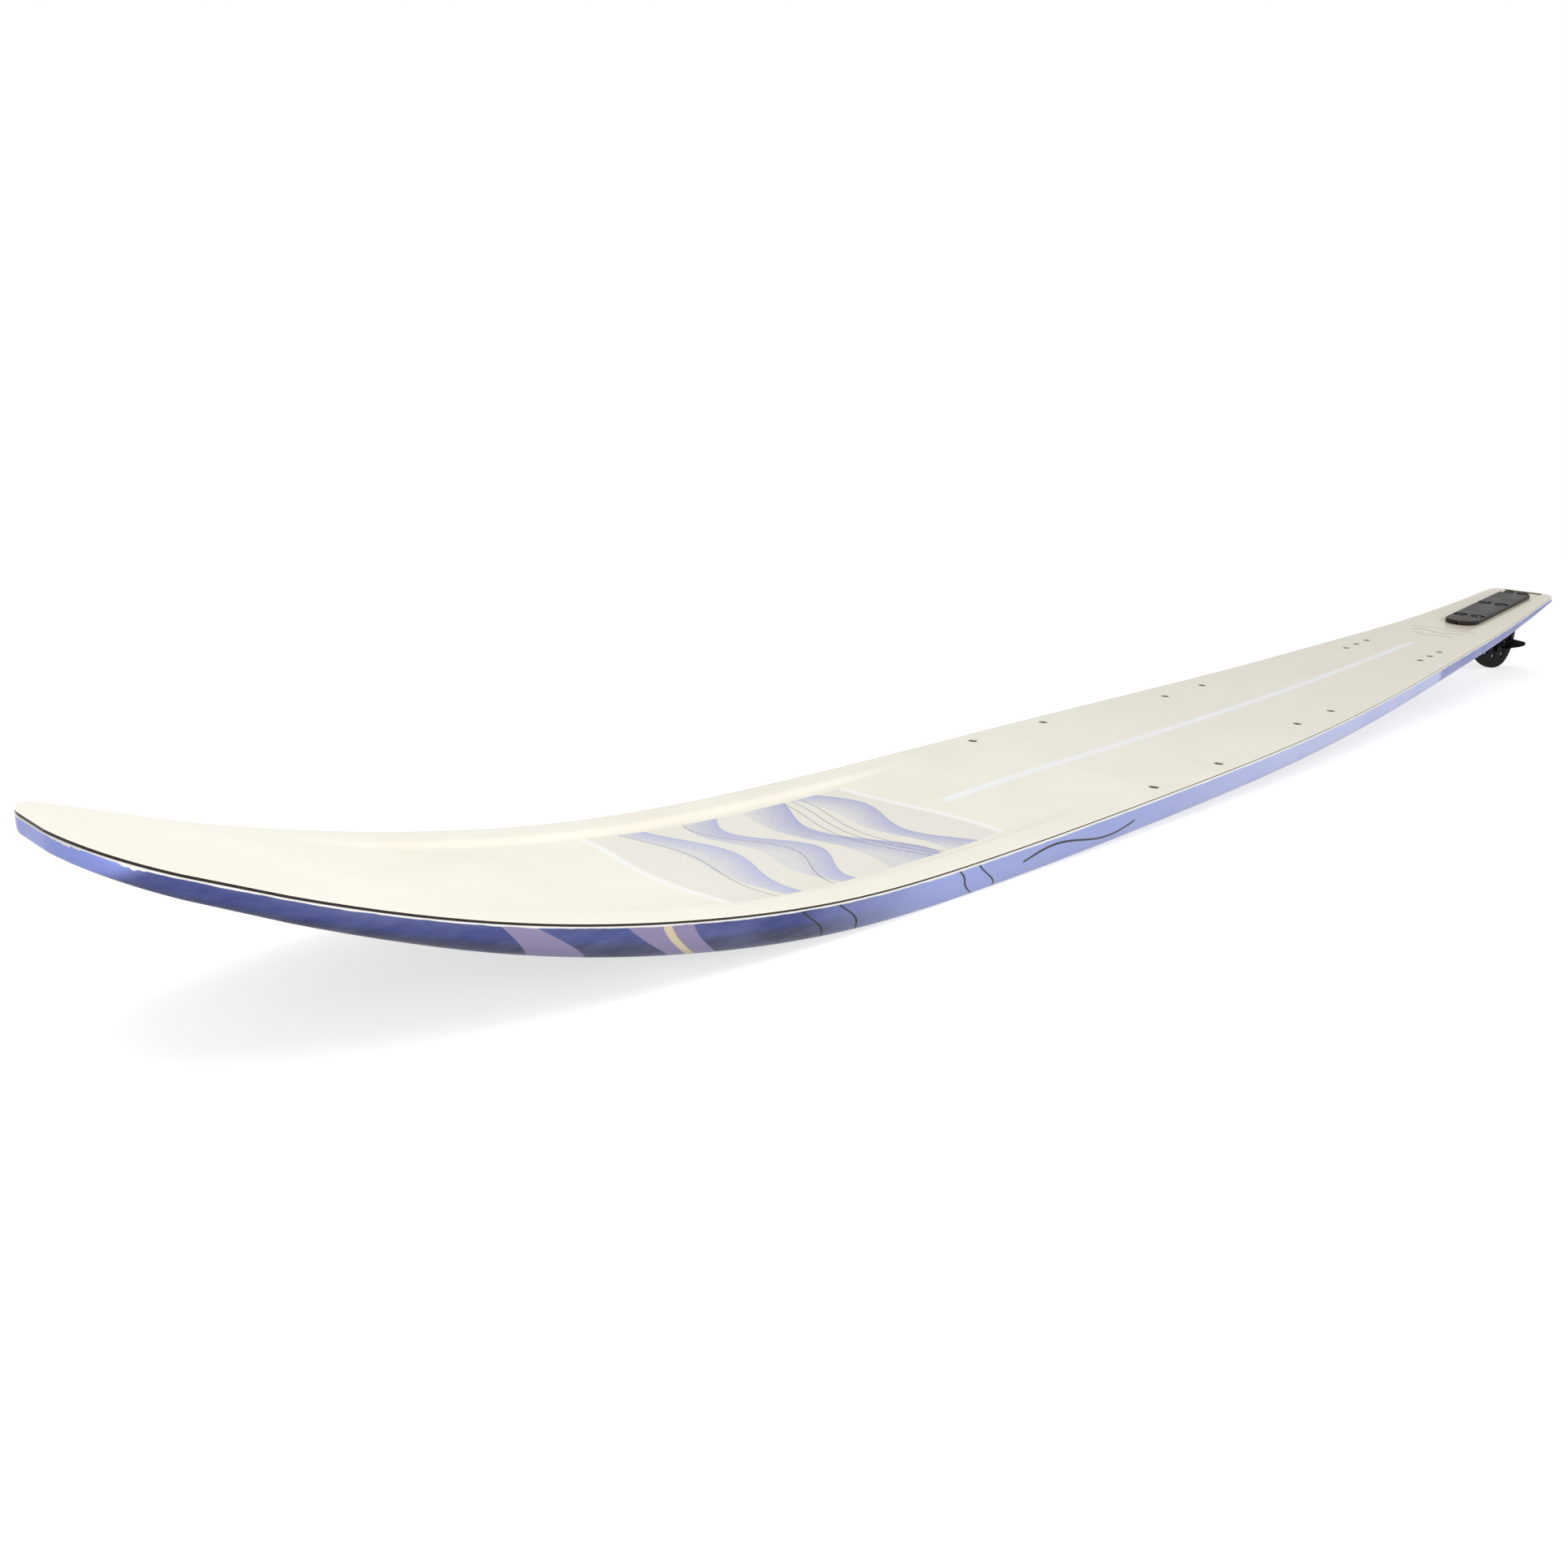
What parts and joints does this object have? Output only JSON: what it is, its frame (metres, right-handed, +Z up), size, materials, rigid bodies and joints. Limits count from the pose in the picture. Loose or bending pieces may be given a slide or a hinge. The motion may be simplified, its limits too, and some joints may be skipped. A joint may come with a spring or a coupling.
{
  "type": "slalom water ski",
  "caption": "Slalom water ski with a cream deck, periwinkle sides, binding inserts and an adjustable black fin with a wing under the tail",
  "frame": {"origin": "bottom centre of the bounding box, on the ground under the standing ski", "axes": "+X from the tail to the nose, +Y the rider's left, +Z up; the ski stands on the fin's lowest point and on the forebody, as on a table"},
  "size_m": [1.6216, 0.1674, 0.0956],
  "materials": {
    "periwinkle_shell": "gloss",
    "foam": "matt",
    "carbon": "satin",
    "cream_top": "gloss",
    "stainless": "satin",
    "black_plate": "satin",
    "black_screw": "satin",
    "clear_aluminium": "satin",
    "black_aluminium": "satin"
  },
  "bodies": {
    "ski": {"base_shell": "periwinkle_shell", "foam_core": "foam", "carbon_laminate": "carbon", "top_sheet": "cream_top", "binding_insert_01": "stainless", "binding_insert_02": "stainless", "binding_insert_03": "stainless", "binding_insert_04": "stainless", "binding_insert_05": "stainless", "binding_insert_06": "stainless", "binding_insert_07": "stainless", "binding_insert_08": "stainless", "binding_insert_09": "stainless", "binding_insert_10": "stainless", "binding_insert_11": "stainless", "binding_insert_12": "stainless", "binding_insert_13": "stainless", "binding_insert_14": "stainless", "fin_plate": "black_plate", "fin_plate_screw_1": "black_screw", "fin_plate_screw_2": "black_screw", "fin_plate_screw_3": "black_screw", "fin_plate_screw_4": "black_screw", "fin_plate_screw_5": "black_screw", "fin_plate_screw_6": "black_screw", "fin_plate_insert_1": "stainless", "fin_plate_insert_2": "stainless", "fin_plate_insert_3": "stainless", "fin_plate_insert_4": "stainless", "fin_plate_insert_5": "stainless", "fin_plate_insert_6": "stainless"},
    "fin_carrier": {"clamp_cheek_left": "clear_aluminium", "clamp_cheek_right": "clear_aluminium", "clamp_bolt_1": "black_screw", "clamp_bolt_2": "black_screw", "clamp_bolt_3": "black_screw", "clamp_nut_1": "stainless", "clamp_nut_2": "stainless", "clamp_nut_3": "stainless"},
    "length_adjuster": {"length_screw": "stainless"},
    "fin": {"fin_blade": "black_aluminium", "wing_screw_front": "black_screw", "wing_screw_rear": "black_screw", "wing_nut_front": "black_screw", "wing_nut_rear": "black_screw"},
    "wing": {"wing_left": "black_aluminium", "wing_right": "black_aluminium"}
  },
  "joints": [
    {"name": "fin_length", "type": "slide", "parent": "ski", "child": "fin_carrier", "axis": [0.9946, 0, -0.1034], "range_m": [-0.003, 0.003]},
    {"name": "length_screw_turn", "type": "hinge", "parent": "fin_carrier", "child": "length_adjuster", "pos_m": [-0.59676, 0, 0.06311], "axis": [0.9946, 0, -0.1034], "range_deg": [-1800, 1800]},
    {"name": "fin_depth", "type": "slide", "parent": "fin_carrier", "child": "fin", "axis": [0.1034, 0, 0.9946], "range_m": [-0.0015, 0.0015]},
    {"name": "wing_angle", "type": "hinge", "parent": "fin", "child": "wing", "pos_m": [-0.76079, 0, 0.02779], "axis": [0, 1, 0], "range_deg": [-4, 4]}
  ],
  "couplings": [
    {"joint": "length_screw_turn", "follows": "fin_length", "rad_per_m": 8976}
  ]
}
